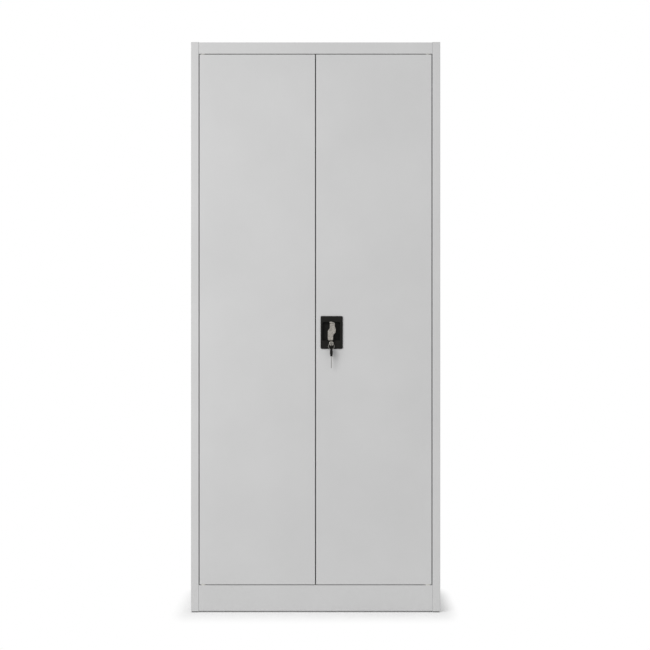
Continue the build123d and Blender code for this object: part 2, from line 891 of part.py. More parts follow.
def cam_point(share, start_angle, sideways, onwards):
    """Point near a cam slot's middle line, a spiral, for a share of the turn.

    It stands off the line by the given lengths, square to it and along it.
    """
    radius = cam_slot_start + rod_travel * share
    angle = start_angle + cam_turn * share
    growth = rod_travel / cam_turn
    along = Vector(growth * sin(angle) + radius * cos(angle), growth * cos(angle) - radius * sin(angle))
    along = along.normalized()
    across = Vector(-along.Y, along.X)
    return Vector(radius * sin(angle), radius * cos(angle)) + across * sideways + along * onwards


def cam_slot(start_angle):
    """Spiral slot: two walls either side of the middle line, and a round end at each end."""
    half = rod_pin_radius + loose_clearance
    shares = [index / (cam_slot_points - 1) for index in range(cam_slot_points)]
    walls = [Spline(*[cam_point(share, start_angle, side, 0) for share in shares]) for side in (-half, half)]
    ends = []
    for share, onwards in ((0, -half), (1, half)):
        corners = [cam_point(share, start_angle, side, 0) for side in (-half, half)]
        tip = cam_point(share, start_angle, 0, onwards)
        ends.append(ThreePointArc(corners[0], tip, corners[1]))
    return make_face([edge for line in walls + ends for edge in line.edges()])


def lock_cam():
    """Cam with a spiral slot for each rod, a tongue and a notch at each end of its turn."""
    outline = Circle(cam_radius)
    tongue_end = tongue_reach - tongue_half_width
    outline += Pos(0, tongue_end / 2) * Rectangle(2 * tongue_half_width, tongue_end)
    outline += Pos(0, tongue_end) * Circle(tongue_half_width)
    outline -= Rectangle(spindle_square + 2 * running_clearance, spindle_square + 2 * running_clearance)
    for start_angle in (0, pi):
        outline -= cam_slot(start_angle)
    notch_radius = sqrt(tail_reach ** 2 + tail_half_width ** 2) + tail_sweep_gap
    notch_place = handle_height - barrel_z
    for place in ((0, -notch_place), (-notch_place, 0)):
        outline -= Pos(*place) * Circle(notch_radius)
    face = Pos(lock_x, front_y + cam_front, handle_height) * (Plane.XZ * outline)
    return extrude(face, cam_thickness, dir=(0, 1, 0))


# Rods

def rod_pin_z(upward):
    return handle_height + upward * cam_slot_start


def rod(upward):
    """Flat rod from the cam to the door's edge; upward is +1 or -1."""
    edge = door_top if upward > 0 else door_bottom
    near = rod_pin_z(upward) - upward * rod_end_gap
    far = edge - upward * rod_tip_gap
    across = (lock_x - rod_width / 2, lock_x + rod_width / 2)
    bar = block(across, (rod_front, rod_back), (near, far))
    through = (rod_front - overrun, rod_back + overrun)
    return bar - bar_y(lock_x, through, rod_pin_z(upward), rod_pin_radius + running_clearance)


def rod_pin(upward):
    return bar_y(lock_x, (cam_front + loose_clearance, rod_back), rod_pin_z(upward), rod_pin_radius)


def rod_guides():
    """Nylon blocks behind the right door's skin that the rods slide in."""
    guides = []
    across = (lock_x - guide_half_width, lock_x + guide_half_width)
    inner = (handle_height - near_guide, handle_height + near_guide)
    outer = (door_bottom + low_guide, door_top - high_guide)
    for z in inner + outer:
        tall = (z - guide_height / 2, z + guide_height / 2)
        guide = block(across, (sheet, door_depth - guide_rear_gap), tall)
        guides.append(guide - rod_slot(z, guide_height))
    return guides


# Lock barrel, plug and keys

def lock_barrel():
    head_front = -plate_proud - barrel_head_height
    head = bar_y(lock_x, (head_front, -plate_proud), barrel_z, barrel_head_radius)
    head = fillet(head.edges().filter_by(GeomType.CIRCLE).sort_by(Axis.Y)[0], barrel_round)
    body = bar_y(lock_x, (-plate_proud, barrel_back), barrel_z, barrel_radius)
    groove = bar_y(lock_x, clip_range(), barrel_z, barrel_radius + overrun)
    body -= groove - bar_y(lock_x, clip_range(), barrel_z, barrel_radius - barrel_groove)
    bore = (head_front - overrun, barrel_back + overrun)
    return head + body - bar_y(lock_x, bore, barrel_z, plug_radius + running_clearance)


def clip_range():
    return (sheet, sheet + clip_thickness)


def barrel_clip():
    """Spring clip in the barrel's groove, behind the door's skin."""
    across = (lock_x - clip_half_width, lock_x + clip_half_width)
    clip = block(across, clip_range(), (barrel_z - clip_leg, barrel_z + clip_crown))
    radius = barrel_radius - barrel_groove + running_clearance
    through = (sheet - overrun, sheet + clip_thickness + overrun)
    clip -= bar_y(lock_x, through, barrel_z, radius)
    mouth = (barrel_z - clip_leg - overrun, barrel_z)
    return clip - block((lock_x - radius, lock_x + radius), through, mouth)


def lock_plug():
    plug = bar_y(lock_x, (plug_front, cam_front), barrel_z, plug_radius)
    across = (lock_x - keyway_half_width, lock_x + keyway_half_width)
    tall = (barrel_z - keyway_half_height, barrel_z + keyway_half_height)
    return plug - block(across, (plug_front - overrun, plug_front + keyway_depth), tall)


def lock_tail():
    """Tail on the plug's rear end; it points towards the free edge until the key is turned."""
    deep = (cam_front, cam_front + tail_thickness)
    tail = bar_y(lock_x, deep, barrel_z, tail_hub_radius)
    half = tail_half_width
    return tail + block((lock_x - tail_reach, lock_x), deep, (barrel_z - half, barrel_z + half))


def tail_screw():
    deep = (cam_front + tail_thickness, cam_front + tail_thickness + tail_screw_height)
    return bar_y(lock_x, deep, barrel_z, tail_screw_radius)


def key_cuts(top, bottom, edge_depth):
    """Round cutters along a key blade's edge."""
    cuts = []
    for share, z in zip(key_cut_shares, spread(top, bottom, len(key_cut_shares))):
        depth = edge_depth + key_cut_radius - key_cut_depth * share
        cuts.append(bar_x((lock_x - overrun, lock_x + overrun), depth, z, key_cut_radius))
    return cuts


def door_key():
    """Key in the lock, seen on edge: its round bow stands in the plane x = lock_x."""
    across = (lock_x - key_sheet / 2, lock_x + key_sheet / 2)
    bow = bar_x(across, bow_depth, barrel_z, key_bow_radius)
    deep = (bow_depth + key_bow_radius / 2, plug_front + key_blade_length)
    half = key_blade_half_width
    key = bow + block(across, deep, (barrel_z - half, barrel_z + half))
    key -= bar_x((across[0] - overrun, across[1] + overrun), bow_depth, barrel_z, key_hole_radius)
    rims = key.edges().filter_by(GeomType.CIRCLE).sort_by(SortBy.RADIUS)[:2]
    return chamfer(rims, key_hole_chamfer)


def key_ring():
    return Pos(lock_x, front_y + bow_depth, ring_z) * Rot(90, 0, 0) * Torus(ring_radius, ring_wire_radius)


def spare_places():
    """Top of the spare key's bow, centre of its hole, foot of its bow and tip of its blade."""
    wire_rise = ring_radius - sqrt(ring_radius ** 2 - (spare_bow_thickness / 2) ** 2)
    hole_top = wire_low_z + wire_rise + ring_wire_radius + rest_gap
    top = hole_top + spare_hole_crown
    foot = top - spare_bow_length
    return top, hole_top - spare_hole_radius, foot, foot - spare_blade_length


def spare_tang_block():
    """The end of the spare key's blade that its bow is moulded round."""
    top, hole, foot, tip = spare_places()
    half = spare_blade_width / 2
    across = (lock_x - key_sheet / 2, lock_x + key_sheet / 2)
    return block(across, (bow_depth - half, bow_depth + half), (foot, foot + spare_tang))


def spare_key_bow():
    """Moulded bow that hangs on the ring, seen on edge."""
    top, hole, foot, tip = spare_places()
    across = (lock_x - spare_bow_thickness / 2, lock_x + spare_bow_thickness / 2)
    half = spare_bow_width / 2
    bow = block(across, (bow_depth - half, bow_depth + half), (foot, top))
    bow = fillet(bow.edges().filter_by(Axis.X), spare_bow_corner)
    bow = fillet(bow.edges().filter_by(GeomType.LINE).filter_by(Axis.X, reverse=True), spare_bow_round)
    bow -= bar_x((lock_x - 2 * overrun, lock_x + 2 * overrun), bow_depth, hole, spare_hole_radius)
    return bow - spare_tang_block() - Pos(0, 0, -overrun) * spare_tang_block()


def spare_key_blade():
    top, hole, foot, tip = spare_places()
    half = spare_blade_width / 2
    across = (lock_x - key_sheet / 2, lock_x + key_sheet / 2)
    blade = block(across, (bow_depth - half, bow_depth + half), (tip, foot))
    blade = chamfer(blade.edges().filter_by(Axis.X).group_by(Axis.Z)[0], spare_tip_chamfer)
    blade += spare_tang_block()
    for cut in key_cuts(foot - 3 * key_cut_radius, tip + 2 * key_cut_radius, bow_depth + half):
        blade -= cut
    return blade


# Cover over the lock works

def cover_left():
    return door_inner_x + cover_inset


def cover_hem_x():
    return door_inner_x + hem_width / 2


def cover_hem_heights():
    low = handle_height - cover_below
    return [low + (cover_above + cover_below) * share for share in cover_hem_shares]


def spacer_places():
    return [(lock_x + spacer_offset, handle_height + side * spacer_rise) for side in (-1, 1)]


def cover_screw_places():
    return [(cover_hem_x(), z) for z in cover_hem_heights()] + spacer_places()


def lock_cover():
    across = (cover_left(), cover_left() + cover_width)
    tall = (handle_height - cover_below, handle_height + cover_above)
    deep = (door_depth, door_depth + sheet)
    cover = rounded_block(across, deep, tall, Axis.Y, cover_corner)
    through = (door_depth - overrun, door_depth + overrun)
    for x, z in cover_screw_places():
        cover -= bar_y(x, through, z, small_screw_radius + screw_clearance)
    return cover


def cover_spacers():
    spacers = []
    for x, z in spacer_places():
        spacer = bar_y(x, (sheet, door_depth), z, spacer_radius)
        bore = (door_depth - 2 * small_screw_length, door_depth + overrun)
        spacers.append(spacer - bar_y(x, bore, z, small_screw_radius + running_clearance))
    return spacers


def cover_screws():
    return [facing_back(x, door_depth + sheet, z, small_screw()) for x, z in cover_screw_places()]


# Files

def save(name, shapes):
    """Writes one piece, or a group of equal pieces, as one file."""
    listed = shapes if isinstance(shapes, list) else [shapes]
    solids = [solid for shape in listed for solid in shape.solids()]
    whole = solids[0] if len(solids) == 1 else Compound(solids)
    export_step(whole, f"parts/{name}.step")


os.makedirs("parts", exist_ok=True)

left_side = side_panel()
save("left_side_panel", left_side)
save("right_side_panel", mirrored(left_side))
save("foot_glides", foot_glides())
save("top_panel", top_panel())
save("bottom_panel", bottom_panel())
save("base_channels", pair(base_channel()))
left_back = back_panel()
save("back_panel_left", left_back)
save("back_panel_right", mirrored(left_back))
save("back_screws", back_fasteners(panel_screw()))
save("back_nuts", back_fasteners(hex_nut(2 * sheet)))
save("seam_screws", seam_fasteners(panel_screw()))
save("seam_nuts", seam_fasteners(hex_nut(seam_grip)))
save("top_screws", shell_screws(panel_screw(), top_screw_z))
save("top_nuts", shell_screws(hex_nut(side_grip), top_screw_z))
save("base_screws", shell_screws(panel_screw(), base_screw_z))
save("base_nuts", shell_screws(hex_nut(side_grip), base_screw_z))

for place, front in zip(("front", "rear"), rail_fronts):
    left_rail = slotted_rail(front)
    save(f"left_{place}_rail", left_rail)
    save(f"right_{place}_rail", mirrored(left_rail))
for level in range(1, shelf_count + 1):
    save(f"shelf_{level}", shelf(level))
save("shelf_channels", [shelf_channel(level) for level in range(1, shelf_count + 1)])
save("shelf_clips", shelf_clips())

save("left_door_panel", door_pan())
save("right_door_panel", right_door_panel())
stiffener = door_stiffener()
save("left_door_stiffener", stiffener)
save("right_door_stiffener", mirrored(stiffener))
save("left_pivot_plates", pivot_plates())
save("right_pivot_plates", [mirrored(plate) for plate in pivot_plates()])
save("left_hinge_pins", hinge_pins())
save("right_hinge_pins", [mirrored(pin) for pin in hinge_pins()])
save("hinge_bushes", hinge_bushes())
save("hinge_washers", hinge_washers())
save("door_buffers", door_buffers())

save("lock_housing", lock_housing())
save("turn_handle", turn_handle())
save("lock_cam", lock_cam())
for name, upward in (("upper", 1), ("lower", -1)):
    save(f"{name}_rod", rod(upward))
    save(f"{name}_rod_pin", rod_pin(upward))
save("rod_guides", rod_guides())
save("lock_barrel", lock_barrel())
save("barrel_clip", barrel_clip())
save("lock_plug", lock_plug())
save("lock_tail", lock_tail())
save("tail_screw", tail_screw())
save("door_key", door_key())
save("key_ring", key_ring())
save("spare_key_bow", spare_key_bow())
save("spare_key_blade", spare_key_blade())
save("lock_cover", lock_cover())
save("cover_spacers", cover_spacers())
save("cover_screws", cover_screws())
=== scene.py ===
import bpy
from math import pi, radians
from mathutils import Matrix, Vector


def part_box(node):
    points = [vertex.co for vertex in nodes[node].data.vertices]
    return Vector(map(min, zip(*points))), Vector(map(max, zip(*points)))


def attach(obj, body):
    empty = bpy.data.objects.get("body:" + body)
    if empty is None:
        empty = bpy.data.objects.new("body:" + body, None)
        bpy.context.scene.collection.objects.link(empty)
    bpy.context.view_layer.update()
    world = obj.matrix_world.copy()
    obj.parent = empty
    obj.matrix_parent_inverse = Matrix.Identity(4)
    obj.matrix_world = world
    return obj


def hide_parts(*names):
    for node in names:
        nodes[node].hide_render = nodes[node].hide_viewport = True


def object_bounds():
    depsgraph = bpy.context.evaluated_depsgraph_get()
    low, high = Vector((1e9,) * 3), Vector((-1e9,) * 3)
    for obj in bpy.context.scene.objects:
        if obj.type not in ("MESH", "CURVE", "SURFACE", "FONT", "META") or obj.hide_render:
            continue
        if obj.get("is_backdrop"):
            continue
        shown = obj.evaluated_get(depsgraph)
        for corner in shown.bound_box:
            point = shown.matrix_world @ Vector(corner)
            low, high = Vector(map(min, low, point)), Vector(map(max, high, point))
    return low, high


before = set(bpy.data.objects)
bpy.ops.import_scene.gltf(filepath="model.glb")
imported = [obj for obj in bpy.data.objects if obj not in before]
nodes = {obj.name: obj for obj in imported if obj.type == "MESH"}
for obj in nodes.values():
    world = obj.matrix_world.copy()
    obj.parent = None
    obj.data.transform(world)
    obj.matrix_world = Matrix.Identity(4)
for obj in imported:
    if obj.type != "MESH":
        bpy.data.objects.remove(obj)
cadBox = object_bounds()
mm = 0.001
tiny = 1e-5      # tolerance when places are compared, 0.01 mm
overlap = 1 * mm      # how far joined pieces and cutters run past a face
leverRise = 39.2      # lever axis above the lock barrel

# Front of the posts and axes of the lock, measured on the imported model
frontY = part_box("left_side_panel")[0][1]
stemLow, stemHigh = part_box("lock_plug")
lockX = (stemLow[0] + stemHigh[0]) / 2
barrelZ = (stemLow[2] + stemHigh[2]) / 2
leverZ = barrelZ + leverRise * mm
print("frame loaded, front at", round(frontY, 4), "lock at", round(lockX, 4), round(barrelZ, 4))


# Materials

def linear(code):      # an sRGB hex colour as Blender's linear one
    values = [int(code[i:i + 2], 16) / 255 for i in (1, 3, 5)]
    return [v / 12.92 if v <= 0.04045 else ((v + 0.055) / 1.055) ** 2.4 for v in values] + [1]


def addNode(tree, kind, settings={}, links={}):      # a setting goes to the socket of that name, or to the node
    node = tree.nodes.new(kind)
    for name, value in settings.items():
        if name in node.inputs:
            node.inputs[name].default_value = value
        else:
            setattr(node, name, value)
    for name, socket in links.items():
        tree.links.new(socket, node.inputs[name])
    return node


def newMaterial(name):
    material = bpy.data.materials.new(name)
    material.use_nodes = True
    material.node_tree.nodes.clear()
    return material, material.node_tree


def grain(tree, sizeMm, detail=2.0, stretch=(1, 1, 1)):      # noise whose lumps are about this large
    place = addNode(tree, "ShaderNodeTexCoord")
    mapping = addNode(tree, "ShaderNodeMapping", {"Scale": stretch}, {"Vector": place.outputs["Object"]})
    noise = {"Scale": 1 / (sizeMm * mm), "Detail": detail, "Roughness": 0.5}
    return addNode(tree, "ShaderNodeTexNoise", noise, {"Vector": mapping.outputs["Vector"]})


def spreadValue(tree, source, low, high):      # noise gathers near 0.5, so its middle half is spread out
    ends = {"From Min": 0.28, "From Max": 0.72, "To Min": low, "To Max": high}
    return addNode(tree, "ShaderNodeMapRange", ends, {"Value": source})


def twoTone(tree, source, first, second):
    mix = addNode(tree, "ShaderNodeMix", {"data_type": "RGBA"}, {"Factor": source})
    mix.inputs["A"].default_value = linear(first)
    mix.inputs["B"].default_value = linear(second)
    return mix.outputs["Result"]


def addBump(tree, source, strength, depthMm, links={}):
    return addNode(tree, "ShaderNodeBump", {"Strength": strength, "Distance": depthMm * mm},
                   {"Height": source.outputs["Fac"], **links})


def surface(tree, settings, links):
    shader = addNode(tree, "ShaderNodeBsdfPrincipled", settings, links)
    addNode(tree, "ShaderNodeOutputMaterial", {}, {"Surface": shader.outputs["BSDF"]})


powder = {"pale": "#CBCBCB", "deep": "#C6C6C6", "cloudMm": 240, "peelMm": 4, "rollMm": 70, "rough": (0.40, 0.50),
          "rollBump": (0.25, 0.15), "peelBump": (0.22, 0.05), "ior": 1.5}


def powderCoat():      # polyester powder baked on steel: even, satin, with a faint orange peel
    material, tree = newMaterial("light grey powder coat")
    cloud = grain(tree, powder["cloudMm"], 3)
    peel = grain(tree, powder["peelMm"])      # real orange peel is about 2 mm, too fine to show here
    roll = grain(tree, powder["rollMm"], 1)      # thin sheet is never quite flat
    tone = spreadValue(tree, cloud.outputs["Fac"], 0, 1)
    rough = spreadValue(tree, peel.outputs["Fac"], *powder["rough"])
    rollBump = addBump(tree, roll, *powder["rollBump"])
    peelBump = addBump(tree, peel, *powder["peelBump"], {"Normal": rollBump.outputs["Normal"]})
    surface(tree, {"IOR": powder["ior"], "Metallic": 0.0}, {
        "Base Color": twoTone(tree, tone.outputs["Result"], powder["deep"], powder["pale"]),
        "Roughness": rough.outputs["Result"],
        "Normal": peelBump.outputs["Normal"],
    })
    return material


bright = {"deep": "#A9ABAD", "pale": "#C4C6C7", "cloudMm": 9, "lineMm": 1.2, "lineStretch": (1, 1, 0.08),
          "rough": (0.28, 0.44), "bump": (0.2, 0.03)}


def zincPlate():      # bright zinc on pressed steel: cool and slightly cloudy, with fine scratches
    material, tree = newMaterial("zinc-plated steel")
    cloud = grain(tree, bright["cloudMm"], 3)
    lines = grain(tree, bright["lineMm"], 2, bright["lineStretch"])
    tone = spreadValue(tree, cloud.outputs["Fac"], 0, 1)
    rough = spreadValue(tree, cloud.outputs["Fac"], *bright["rough"])
    bump = addBump(tree, lines, *bright["bump"])
    surface(tree, {"Metallic": 1.0}, {
        "Base Color": twoTone(tree, tone.outputs["Result"], bright["deep"], bright["pale"]),
        "Roughness": rough.outputs["Result"],
        "Normal": bump.outputs["Normal"],
    })
    return material


casting = {"deep": "#7C7872", "pale": "#B9B5AE", "mottleMm": 2.6, "skinMm": 0.7, "rough": (0.42, 0.58),
           "bump": (0.35, 0.06)}


def castZinc():      # tumbled zinc die casting with a satin plate: warm grey, softly mottled
    material, tree = newMaterial("satin die-cast zinc")
    mottle = grain(tree, casting["mottleMm"], 5)      # the casting's skin is finer, but shows as soft patches
    skin = grain(tree, casting["skinMm"], 2)
    tone = spreadValue(tree, mottle.outputs["Fac"], 0, 1)
    rough = spreadValue(tree, mottle.outputs["Fac"], *casting["rough"])
    bump = addBump(tree, skin, *casting["bump"])
    surface(tree, {"Metallic": 1.0}, {
        "Base Color": twoTone(tree, tone.outputs["Result"], casting["deep"], casting["pale"]),
        "Roughness": rough.outputs["Result"],
        "Normal": bump.outputs["Normal"],
    })
    return material


turned = {"markMm": 0.5, "markStretch": (1, 0.15, 1), "rough": (0.16, 0.30), "bump": (0.15, 0.02)}


def nickelPlate(name, dark, light):      # nickel on brass or steel: a little yellow, with faint turning marks
    material, tree = newMaterial(name)
    marks = grain(tree, turned["markMm"], 2, turned["markStretch"])
    rough = spreadValue(tree, marks.outputs["Fac"], *turned["rough"])
    tone = spreadValue(tree, marks.outputs["Fac"], 0, 1)
    bump = addBump(tree, marks, *turned["bump"])
    surface(tree, {"Metallic": 1.0}, {
        "Base Color": twoTone(tree, tone.outputs["Result"], dark, light),
        "Roughness": rough.outputs["Result"],
        "Normal": bump.outputs["Normal"],
    })
    return material


moulded = {"cloudMm": 22, "bump": 0.4, "ior": 1.53}


def mouldedPlastic(name, dark, light, sparkMm, rough, gloss=0.5, depthMm=0.04):      # the mould's matt grain
    material, tree = newMaterial(name)
    spark = grain(tree, sparkMm, 3)
    cloud = grain(tree, moulded["cloudMm"], 2)
    tone = spreadValue(tree, cloud.outputs["Fac"], 0, 1)
    roughness = spreadValue(tree, spark.outputs["Fac"], *rough)
    bump = addBump(tree, spark, moulded["bump"], depthMm)
    surface(tree, {"IOR": moulded["ior"], "Specular IOR Level": gloss}, {
        "Base Color": twoTone(tree, tone.outputs["Result"], dark, light),
        "Roughness": roughness.outputs["Result"],
        "Normal": bump.outputs["Normal"],
    })
    return material


coat = powderCoat()
zinc = zincPlate()
cast = castZinc()
nickel = nickelPlate("nickel-plated brass", "#9A978F", "#B3B0A8")
# the barrel's nickel plate made darker as painted shade: it stands in for dark reflections on the keys and ring and
# the shaded keyway of the plug
shadedKeyNickel = nickelPlate("nickel plate darkened for painted shade", "#7F7D79", "#989691")
blackAbs = mouldedPlastic("black moulded ABS", "#191917", "#1F1F1D", 0.9, (0.46, 0.60), 0.09)
blackNylon = mouldedPlastic("black nylon", "#161615", "#1C1C1B", 1.1, (0.50, 0.62), 0.3)
whiteNylon = mouldedPlastic("natural nylon", "#D9D7CE", "#E3E1D9", 1.1, (0.38, 0.50))
rubber = mouldedPlastic("black rubber", "#1F1F1F", "#272727", 1.4, (0.72, 0.86), 0.3, 0.08)
print("materials made")

finishes = {
    coat: ["left_side_panel", "right_side_panel", "top_panel", "bottom_panel", "base_channels", "back_panel_left",
           "back_panel_right", "left_front_rail", "left_rear_rail", "right_front_rail", "right_rear_rail", "shelf_1",
           "shelf_2", "shelf_3", "shelf_4", "shelf_channels", "left_door_panel", "left_door_stiffener",
           "right_door_panel", "right_door_stiffener"],
    zinc: ["back_screws", "back_nuts", "seam_screws", "seam_nuts", "top_screws", "top_nuts", "base_screws",
           "base_nuts", "shelf_clips", "left_pivot_plates", "left_hinge_pins", "right_pivot_plates",
           "right_hinge_pins", "barrel_clip", "lock_cover", "cover_spacers", "cover_screws", "lock_cam", "upper_rod",
           "upper_rod_pin", "lower_rod", "lower_rod_pin", "lock_tail", "tail_screw"],
    nickel: ["lock_barrel"],
    # the plug takes the darker nickel as painted shade in its keyway
    shadedKeyNickel: ["lock_plug"],
    blackNylon: ["foot_glides"],
    whiteNylon: ["hinge_bushes", "hinge_washers", "rod_guides"],
    rubber: ["door_buffers"],
}
for material, names in finishes.items():
    for name in names:
        for place in nodes[name].material_slots:
            place.material = material
print("CAD pieces finished:", sum(len(names) for names in finishes.values()))


# Modelling helpers

def deselectAll():
    if bpy.context.object and bpy.context.object.mode != "OBJECT":
        bpy.ops.object.mode_set(mode="OBJECT")
    bpy.ops.object.select_all(action="DESELECT")


def settle(name):      # place and turn go into the mesh, so the object sits at the origin
    bpy.ops.object.transform_apply(location=True, rotation=True, scale=True)
    piece = bpy.context.object
    piece.name = name
    return piece


def addBox(name, low, high):
    deselectAll()
    middle = [(a + b) / 2 for a, b in zip(low, high)]
    bpy.ops.mesh.primitive_cube_add(size=1, location=middle)
    bpy.context.object.scale = [b - a for a, b in zip(low, high)]
    return settle(name)


def addRound(name, start, end, radius, sides=48, tip=None):      # cylinder or cone between two points on one axis
    deselectAll()
    middle = [(a + b) / 2 for a, b in zip(start, end)]
    spans = [b - a for a, b in zip(start, end)]
    turn = (0, radians(90), 0) if spans[0] else (radians(-90), 0, 0) if spans[1] else (0, 0, 0)
    bpy.ops.mesh.primitive_cone_add(vertices=sides, radius1=radius, radius2=radius if tip is None else tip,
                                    depth=sum(spans), location=middle, rotation=turn)
    return settle(name)


def pick(piece, kind, test):      # edit mode, with only the wanted vertices, edges or polygons selected
    deselectAll()
    piece.select_set(True)
    bpy.context.view_layer.objects.active = piece
    bpy.context.tool_settings.mesh_select_mode = (kind == "vertices", kind == "edges", kind == "polygons")
    mesh = piece.data
    for group in (mesh.vertices, mesh.edges, mesh.polygons):
        group.foreach_set("select", [False] * len(group))
    for part in getattr(mesh, kind):
        corners = [part.co] if kind == "vertices" else [mesh.vertices[i].co for i in part.vertices]
        if test(corners):
            part.select = True
    bpy.ops.object.mode_set(mode="EDIT")


def sliceAt(piece, axis, places):      # new edges straight across the piece
    for place in places:
        pick(piece, "polygons", lambda corners: True)
        point, normal = [0, 0, 0], [0, 0, 0]
        point[axis], normal[axis] = place, 1
        bpy.ops.mesh.bisect(plane_co=point, plane_no=normal)
    bpy.ops.object.mode_set(mode="OBJECT")


def bevelEdges(piece, test, width, segments):
    pick(piece, "edges", test)
    bpy.ops.mesh.bevel(offset=width, segments=segments, affect="EDGES")
    bpy.ops.object.mode_set(mode="OBJECT")


def moveVertices(piece, test, by):
    pick(piece, "vertices", test)
    bpy.ops.transform.translate(value=by)
    bpy.ops.object.mode_set(mode="OBJECT")


def extrudeFaces(piece, test, by):
    pick(piece, "polygons", test)
    bpy.ops.mesh.extrude_region_move(TRANSFORM_OT_translate={"value": by})
    bpy.ops.object.mode_set(mode="OBJECT")


def applyModifier(piece, kind, **settings):
    deselectAll()
    piece.select_set(True)
    bpy.context.view_layer.objects.active = piece
    modifier = piece.modifiers.new("work", kind)
    for name, value in settings.items():
        setattr(modifier, name, value)
    bpy.ops.object.modifier_apply(modifier="work")


def cutAway(piece, cutter):
    applyModifier(piece, "BOOLEAN", operation="DIFFERENCE", object=cutter, solver="EXACT")
    bpy.data.objects.remove(cutter)


def joinPieces(pieces, name):
    deselectAll()
    for piece in pieces:
        piece.select_set(True)
    bpy.context.view_layer.objects.active = pieces[0]
    bpy.ops.object.join()
    bpy.context.object.name = name
    return bpy.context.object


def copyPiece(piece, by):
    deselectAll()
    piece.select_set(True)
    bpy.context.view_layer.objects.active = piece
    bpy.ops.object.duplicate_move(OBJECT_OT_duplicate={"linked": False}, TRANSFORM_OT_translate={"value": by})
    return settle(piece.name)


def joinFlats(piece):      # faces in one plane become one face again
    pick(piece, "polygons", lambda corners: True)
    bpy.ops.mesh.dissolve_limited(angle_limit=radians(0.5))
    bpy.ops.object.mode_set(mode="OBJECT")


def finishPiece(piece, material, body, angle=35, merge=0.02):
    pick(piece, "vertices", lambda corners: True)      # points that nearly coincide are merged
    bpy.ops.mesh.remove_doubles(threshold=merge * mm)
    bpy.ops.mesh.delete_loose(use_verts=True, use_edges=True, use_faces=False)
    bpy.ops.mesh.select_all(action="SELECT")
    bpy.ops.mesh.fill_holes(sides=4)
    deselectAll()
    piece.select_set(True)
    bpy.context.view_layer.objects.active = piece
    bpy.ops.object.shade_smooth_by_angle(angle=radians(angle))
    piece.data.materials.clear()
    piece.data.materials.append(material)
    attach(piece, body)
    print("made", piece.name, len(piece.data.polygons), "faces")


def along(axis, corners):      # an edge that runs along one axis only
    others = [i for i in range(3) if i != axis]
    return all(abs(corners[0][i] - corners[1][i]) < tiny / 10 for i in others)


def near(value, place):      # a little looser than along, for points that a bevel or a slice has made
    return abs(value - place) < 2 * tiny


# Black plate with the finger recess

plate = {"proud": 3.5, "corner": 4.0, "round": 1.2, "recessDepth": 8.0, "recessCorner": 3.0, "wall": 2.0,
         "recessWide": 57.0, "recessTall": 59.4, "recessShift": -0.6, "lip": 0.7, "draft": 0.8,
         "cupEdgeFrom": 29.0, "wallOver": 10.0, "spindleBore": 5.1, "barrelBore": 6.65, "overrun": 5.0, "merge": 0.12}


def makeLockPlate():
    low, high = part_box("lock_housing")
    faceY = frontY - plate["proud"] * mm
    floorY = frontY + plate["recessDepth"] * mm
    backY = floorY + plate["wall"] * mm
    middle = lockX + plate["recessShift"] * mm
    recessX = [middle + side * plate["recessWide"] * mm / 2 for side in (-1, 1)]
    recessZ = [leverZ + side * plate["recessTall"] * mm / 2 for side in (-1, 1)]
    cupX = [recessX[0] - plate["wall"] * mm, recessX[1] + plate["wall"] * mm]
    cupZ = [recessZ[0] - plate["wall"] * mm, recessZ[1] + plate["wall"] * mm]
    piece = addBox("lockPlate", (low[0], faceY, low[2]), (high[0], frontY, high[2]))
    bevelEdges(piece, lambda c: along(1, c), plate["corner"] * mm, 8)
    bevelEdges(piece, lambda c: all(near(p.y, faceY) for p in c), plate["round"] * mm, 4)
    sliceAt(piece, 0, cupX + recessX)
    sliceAt(piece, 2, cupZ + recessZ)

    def inside(corners, rangeX, rangeZ, y):
        within = lambda value, ends: ends[0] - tiny < value < ends[1] + tiny
        return all(near(c.y, y) and within(c.x, rangeX) and within(c.z, rangeZ) for c in corners)

    extrudeFaces(piece, lambda c: inside(c, cupX, cupZ, frontY), (0, backY - frontY, 0))
    extrudeFaces(piece, lambda c: inside(c, recessX, recessZ, faceY), (0, floorY - faceY, 0))
    draft = plate["draft"] * mm
    for side in (0, 1):      # the recess narrows a little towards its floor, so that it leaves the mould
        sign = 1 - 2 * side
        moveVertices(piece, lambda c: near(c[0].y, floorY) and near(c[0].x, recessX[side]), (sign * draft, 0, 0))
        moveVertices(piece, lambda c: near(c[0].y, floorY) and near(c[0].z, recessZ[side]), (0, 0, sign * draft))
    outer = lambda c: abs(c[0].x - middle) > plate["cupEdgeFrom"] * mm
    cupEdge = lambda c: min(c[0].y, c[1].y) > frontY - tiny and along(1, c) and outer(c)
    bevelEdges(piece, cupEdge, (plate["recessCorner"] + plate["wall"]) * mm, 4)
    wallEdge = lambda c: abs(c[0].y - c[1].y) > plate["wallOver"] * mm and not outer(c)
    bevelEdges(piece, wallEdge, plate["recessCorner"] * mm, 4)
    past = plate["overrun"] * mm
    spindle = addRound("bore", (lockX, floorY - past, leverZ), (lockX, backY + past, leverZ),
                       plate["spindleBore"] * mm)
    cutAway(piece, spindle)
    barrel = addRound("bore", (lockX, faceY - past, barrelZ), (lockX, frontY + past, barrelZ),
                      plate["barrelBore"] * mm, 64)
    cutAway(piece, barrel)
    applyModifier(piece, "BEVEL", width=plate["lip"] * mm, segments=3, limit_method="ANGLE", angle_limit=radians(50))
    finishPiece(piece, blackAbs, "right_door", 35, plate["merge"])
    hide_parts("lock_housing")


makeLockPlate()


# Turn handle: two offset blades cast in one piece

